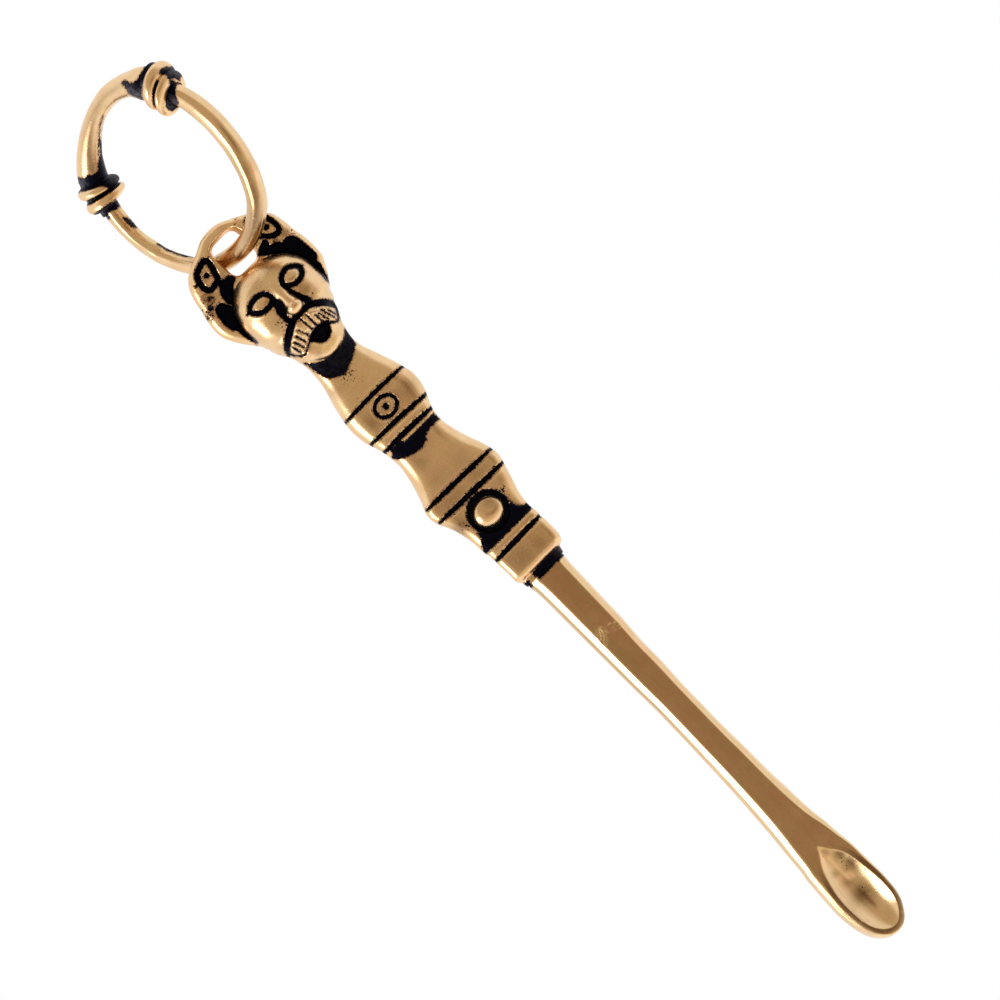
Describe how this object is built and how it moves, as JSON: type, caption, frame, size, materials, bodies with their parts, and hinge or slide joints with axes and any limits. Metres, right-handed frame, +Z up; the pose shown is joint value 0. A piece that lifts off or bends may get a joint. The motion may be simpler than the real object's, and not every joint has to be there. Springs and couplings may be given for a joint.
{
  "type": "ear spoon",
  "caption": "Cast bronze ear spoon with a small scoop, a moulded mask-headed handle and a swinging carrying ring through its eye.",
  "frame": {"origin": "top of the ring's inside, where a hook or cord carries it", "axes": "+Z up along the hanging spoon, the mask looks towards -Y, +X is to the right of someone looking at the mask"},
  "size_m": [0.0146, 0.0161, 0.1015],
  "materials": {
    "patinated_bronze": "polished gold-coloured bronze with near-black patina left in its recesses",
    "bright_bronze": "polished gold-coloured bronze, rubbed smooth"
  },
  "bodies": {
    "ring": {"ring_bow": "patinated_bronze", "ring_wire": "bright_bronze"},
    "spoon": {"handle": "patinated_bronze", "shank": "bright_bronze", "stud": "patinated_bronze"}
  },
  "joints": [
    {"name": "spoon_swing", "type": "hinge", "parent": "ring", "child": "spoon", "pos_m": [-0.00192, 0, -0.01685], "axis": [0.6648, -0.7431, -0.0757], "range_deg": [-150, 150]}
  ]
}
